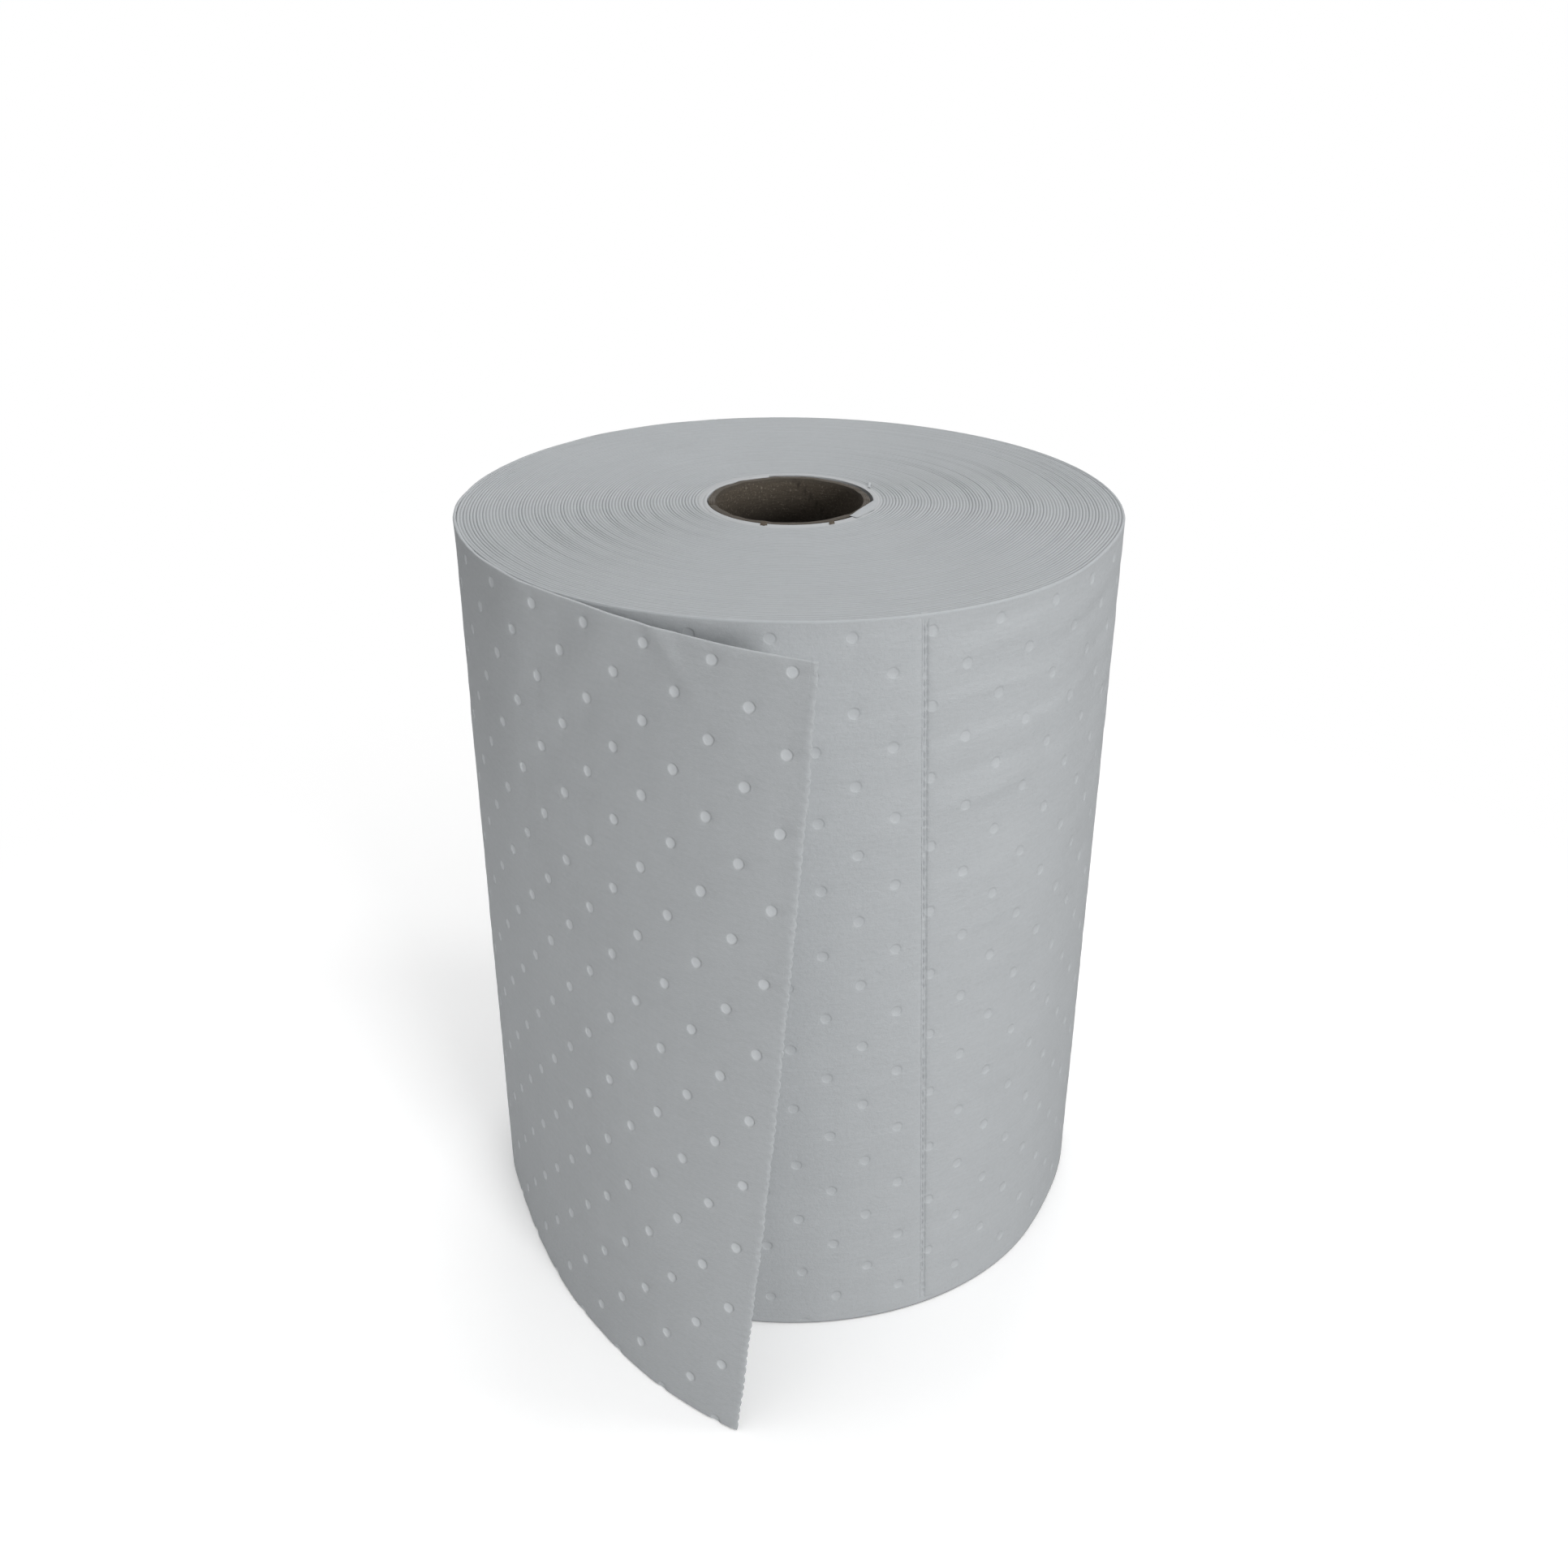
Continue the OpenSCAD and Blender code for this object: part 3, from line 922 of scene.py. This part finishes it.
def tube_profile():
    """Radius and height of the tube's wall, once round it from the outside of the upper rim."""
    bore_end, outer_end = 2.5 * MM, 3 * MM
    up_rim = np.stack([CORE_R - PLIES[:, 0], WEB_WIDTH - PLIES[:, 1]], 1)
    down_bore = np.linspace(WEB_WIDTH - bore_end, bore_end, BORE_STEPS)
    bore = np.stack([np.full(BORE_STEPS, BORE_R), down_bore], 1)
    low_rim = np.stack([CORE_R - PLIES[::-1, 0], PLIES[::-1, 1]], 1)
    up_outside = np.array([outer_end, WEB_WIDTH / 2, WEB_WIDTH - outer_end])
    outside = np.stack([np.full(3, CORE_R), up_outside], 1)
    return np.concatenate([up_rim, bore, low_rim, outside])


def board_tube():
    """A board tube: its profile, a closed loop of radius and height, is carried once round the axis.

    The bore shows the helical joint of its innermost strip, and the rims show thin plies, worn
    unevenly, with one notch in the upper one.
    """
    profile = tube_profile()
    angle = np.linspace(0, 2 * math.pi, TUBE_STEPS, endpoint=False)[None, :]
    radius, height = profile[:, :1] + 0 * angle, profile[:, 1:] + 0 * angle
    in_bore = (np.abs(radius - BORE_R) < 0.02 * MM) * 1.0
    phase = (height - WEB_WIDTH - STRIP_CLIMB * (angle - 1.5)) / STRIP_WIDTH
    off = np.abs(phase - np.round(phase)) * STRIP_WIDTH
    seam = bell(off, SEAM_HALF) * in_bore
    step = 0.12 * MM * smoothstep(0, 0.5, phase - np.floor(phase))
    rough = 0.06 * MM * dapple(np.cos(angle) * 9 + height * 90, np.sin(angle) * 9 + height * 60, 51)
    radius = radius + SEAM_DEPTH * seam + in_bore * (step + rough)
    on_rim = (smoothstep(WEB_WIDTH - 1.2 * MM, WEB_WIDTH - 0.4 * MM, height)
              + 1 - smoothstep(0.4 * MM, 1.2 * MM, height))
    worn = np.clip(0.25 * MM * drift(angle * 8, 53), -0.2 * MM, 0.2 * MM)
    end = np.where(height > WEB_WIDTH / 2, 1, -1)
    height = height + end * on_rim * (CROWN - 0.35 * MM - worn)
    notch = NOTCH_DEPTH * bell(degrees_from(angle, NOTCH_AT), NOTCH_WIDTH)
    height = height - notch * smoothstep(WEB_WIDTH - 1.2 * MM, WEB_WIDTH - 0.5 * MM, height)
    # Painted shade: the inside mark is 0 within 5 mm of the bore's ends and 1 from 30 mm in, and
    # darkens the board there
    inside = in_bore * smoothstep(0.005, 0.03, np.minimum(height, WEB_WIDTH - height))
    points = np.stack([radius * np.cos(angle), radius * np.sin(angle), height], -1).reshape(-1, 3)
    marks = {"seam": 0.8 * seam, "rim": 0.8 * on_rim, "inside": inside}
    faces = [ring_quads(len(profile), TUBE_STEPS)]
    return make_piece("board_tube", points, faces, KRAFT, marks=marks, sharp=50)


# Torn scraps on the upper end

# Name, plan points of one edge and of the other, and the height of each edge over the crown, all
# in millimetres, and whether the scrap is board
SCRAPS = [
    ("felt_flap", [(42.9, -3.6), (36.6, -16.3), (30.2, -29.0)],
     [(45.6, -3.0), (42.5, -19.0), (33.5, -32.0)], (0.28, 0.1), False),
    ("left_bit", [(-14.3, -43.6), (-12.3, -44.3), (-10.6, -43.9)],
     [(-13.9, -42.6), (-12.2, -42.4), (-11.0, -42.8)], (-0.2, 1.3), True),
    ("right_bit", [(19.6, -42.3), (22.6, -40.9)],
     [(19.5, -41.5), (22.1, -40.2)], (-0.2, 1.2), True),
    ("side_flake", [(42.2, 28.6), (41.0, 20.0)],
     [(43.2, 28.0), (42.6, 19.4)], (0.25, 0.1), False),
]
SCRAP_SEED = 101
# Points along a scrap and across it, half its thickness, and how far its edge is ragged and wavy
SCRAP_LONG, SCRAP_WIDE = 25, 7
SCRAP_HALF, SCRAP_RAGGED = 0.14 * MM, 0.12 * MM


def edge_line(edge, share):
    """Plan points at shares of the way along an edge, straight between its own points."""
    edge = np.array(edge) * MM
    at = np.linspace(0, 1, len(edge))
    return np.stack([np.interp(share, at, edge[:, i]) for i in (0, 1)], 1)


def torn_scrap(name, one, other, heights, is_board, seed):
    """A thin torn scrap: a grid of straight lines between two edges, one of them ragged.

    It is thickest in the middle, by a sine each way, and a dapple makes it wavy.
    """
    share = np.linspace(0, 1, SCRAP_LONG)
    ragged = SCRAP_RAGGED * np.stack([drift(share * 9, seed), drift(share * 8, seed + 1)], 1)
    t, u = share[:, None], np.linspace(0, 1, SCRAP_WIDE)[None, :]
    first, second = edge_line(one, share) + ragged, edge_line(other, share)
    plan = first[:, None, :] * (1 - u[..., None]) + second[:, None, :] * u[..., None]
    low, high = (WEB_WIDTH + CROWN + height * MM for height in heights)
    middle = low + (high - low) * u + SCRAP_RAGGED * dapple(t * 6, u * 3, seed + 2)
    thin = SCRAP_HALF * np.sin(math.pi * (u * 0.86 + 0.07)) * np.sin(math.pi * (t * 0.94 + 0.03))
    top = np.concatenate([plan, (middle + thin)[..., None]], -1)
    base = np.concatenate([plan, (middle - thin)[..., None]], -1)
    points, faces = slab(top, base)
    material, slot = (KRAFT, "kraft_board") if is_board else (EDGE, "nonwoven_web")
    return make_piece(name, points, faces, material)


# Put together

sheet = loose_sheet()
edge = torn_edge()
wall = wound_wall()
perforation_strip("rear_perforation", SHEET_LEN, 61)
perforation_strip("front_perforation", FRONT_LINE, 71)
end_turns("upper_end_turns", True, 81)
end_turns("lower_end_turns", False, 91)
tube = board_tube()
for number, scrap in enumerate(SCRAPS):
    torn_scrap(*scrap, SCRAP_SEED + 10 * number)
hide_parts("absorbent_web")
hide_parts("core_tube")


# Camera, light and floor

CAMERA_PLACE = (0, -0.80414, 0.64624)
CAMERA_PITCH, CAMERA_ROLL = math.radians(27.0246), math.radians(0.1178)
CAMERA_TURN = 0.0030
# Focal length and width of the picture in pixels, and width of the sensor in millimetres
FOCAL_LENGTH, PICTURE_WIDTH, SENSOR_WIDTH = 1982.37, 1932, 36
CAMERA_NEAR = 0.01

# Name, place, side in metres and power in watts of each soft box, and the point that they face
LAMPS = [
    ("top_lamp", (0.0, -0.418, 4.178), 4.5, 124),
    ("back_lamp", (0.302, 3.451, 2.2), 2.5, 60),
    ("side_lamp", (3.21, -0.168, 4.03), 1.0, 30),
    ("front_lamp", (1.956, -3.389, 1.032), 1.2, 123),
    ("left_lamp", (-0.66, -0.32, 0.06), 0.3, 2.15),
]
LAMP_AIM = (0, 0, 0.2)
# Strength of the sky's light at the horizon
SKY_LOW = 0.05

# Floor: its rings, steps round, depth below the roll, and where it turns to plain white
FLOOR_RINGS = np.linspace(0.3, 2.2, 12)
FLOOR_STEPS = 64
FLOOR_DOWN = 0.4 * MM
WHITE_FROM, WHITE_TO = 0.3, 0.75
# Grey level of the floor in the light that it throws back, and as the camera sees it
FLOOR_LIT, FLOOR_SEEN = 125, 247


def set_camera():
    """A camera at its place, tipped down by its pitch, turned about Z, and rolled by a little."""
    spin = Matrix.Rotation(CAMERA_TURN, 3, "Z")
    ahead = spin @ Vector((0, math.cos(CAMERA_PITCH), -math.sin(CAMERA_PITCH)))
    right = spin @ Vector((1, 0, 0))
    up = spin @ Vector((0, math.sin(CAMERA_PITCH), math.cos(CAMERA_PITCH)))
    level = math.cos(CAMERA_ROLL) * right + math.sin(CAMERA_ROLL) * up
    above = math.cos(CAMERA_ROLL) * up - math.sin(CAMERA_ROLL) * right
    place = Matrix((level, above, -ahead)).transposed().to_4x4()
    place.translation = CAMERA_PLACE
    data = bpy.data.cameras.new("camera")
    data.sensor_width = SENSOR_WIDTH
    data.lens = SENSOR_WIDTH * FOCAL_LENGTH / PICTURE_WIDTH
    data.clip_start = CAMERA_NEAR
    camera = bpy.data.objects.new("camera", data)
    bpy.context.scene.collection.objects.link(camera)
    camera.matrix_world = place
    bpy.context.scene.camera = camera


def soft_lamp(name, place, size, power):
    """A square soft box that faces the middle of the roll."""
    data = bpy.data.lights.new(name, "AREA")
    data.size, data.energy = size, power
    lamp = bpy.data.objects.new(name, data)
    lamp.visible_camera = False
    bpy.context.scene.collection.objects.link(lamp)
    lamp.location = place
    aim = Vector(LAMP_AIM) - lamp.location
    lamp.rotation_euler = aim.to_track_quat("-Z", "Y").to_euler()


def set_sky():
    """A white sky: it fades from the horizon to the top as a light, and is plain white where the
    camera, a glossy face or a clear one sees it."""
    world = bpy.data.worlds.new("studio")
    bpy.context.scene.world = world
    world.use_nodes = True
    tree = world.node_tree
    path = node(tree, "ShaderNodeLightPath").outputs
    seen = maths(tree, "MAXIMUM", path["Is Camera Ray"], path["Is Glossy Ray"])
    seen = maths(tree, "MAXIMUM", seen, path["Is Transmission Ray"])
    ray = node(tree, "ShaderNodeTexCoord").outputs["Generated"]
    up = node(tree, "ShaderNodeSeparateXYZ", {0: ray}).outputs[2]
    sky = node(tree, "ShaderNodeMapRange", {"Value": up, "To Min": SKY_LOW, "To Max": 0.0}).outputs[0]
    strength = node(tree, "ShaderNodeMix", {0: seen, 2: sky, 3: 1.0}, data_type="FLOAT").outputs[0]
    back = tree.nodes["Background"]
    tree.links.new(strength, back.inputs["Strength"])
    back.inputs["Color"].default_value = WHITE


def pale_floor():
    """A matt floor that the camera sees pale and a little lit, and plain white further out."""
    material, tree, shader = new_material("pale_floor", 1.0, 0.0)
    camera_ray = node(tree, "ShaderNodeLightPath").outputs["Is Camera Ray"]
    pale = shade(tree, camera_ray, grey(FLOOR_LIT), grey(FLOOR_SEEN))
    tree.links.new(pale, shader.inputs["Base Color"])
    shader.inputs["Emission Color"].default_value = WHITE
    glow = maths(tree, "MULTIPLY", camera_ray, 0.2)
    tree.links.new(glow, shader.inputs["Emission Strength"])
    away = length_of(tree, object_place(tree))
    fade = ramp(tree, away, WHITE_FROM, WHITE_TO, "SMOOTHSTEP")
    white = node(tree, "ShaderNodeEmission", {"Color": WHITE, "Strength": 1.0}).outputs[0]
    mixed = node(tree, "ShaderNodeMixShader", {
        0: maths(tree, "MULTIPLY", camera_ray, fade), 1: shader.outputs[0], 2: white})
    tree.links.new(mixed.outputs[0], tree.nodes["Material Output"].inputs["Surface"])
    return material


def set_floor():
    """A round floor that keeps the roll's shadow: rings of points round its middle point."""
    turn = np.linspace(0, 2 * math.pi, FLOOR_STEPS, endpoint=False)
    x, y = np.outer(FLOOR_RINGS, np.cos(turn)), np.outer(FLOOR_RINGS, np.sin(turn))
    points = np.stack([x, y, np.zeros_like(x)], -1).reshape(-1, 3)
    points = np.concatenate([points, [[0, 0, 0]]]) - [0, 0, FLOOR_DOWN]
    number = np.arange(x.size).reshape(x.shape)
    after = np.roll(number, -1, 1)
    quads = np.stack([number[:-1], number[1:], after[1:], after[:-1]], -1).reshape(-1, 4)
    fan = np.stack([np.full(FLOOR_STEPS, x.size), number[0], after[0]], 1)
    floor, _ = mesh_object("floor", points, [quads, fan])
    floor.data.materials.append(pale_floor())


set_camera()
for lamp in LAMPS:
    soft_lamp(*lamp)
set_sky()
set_floor()
bpy.context.scene.view_settings.view_transform = "Standard"
bpy.context.view_layer.update()
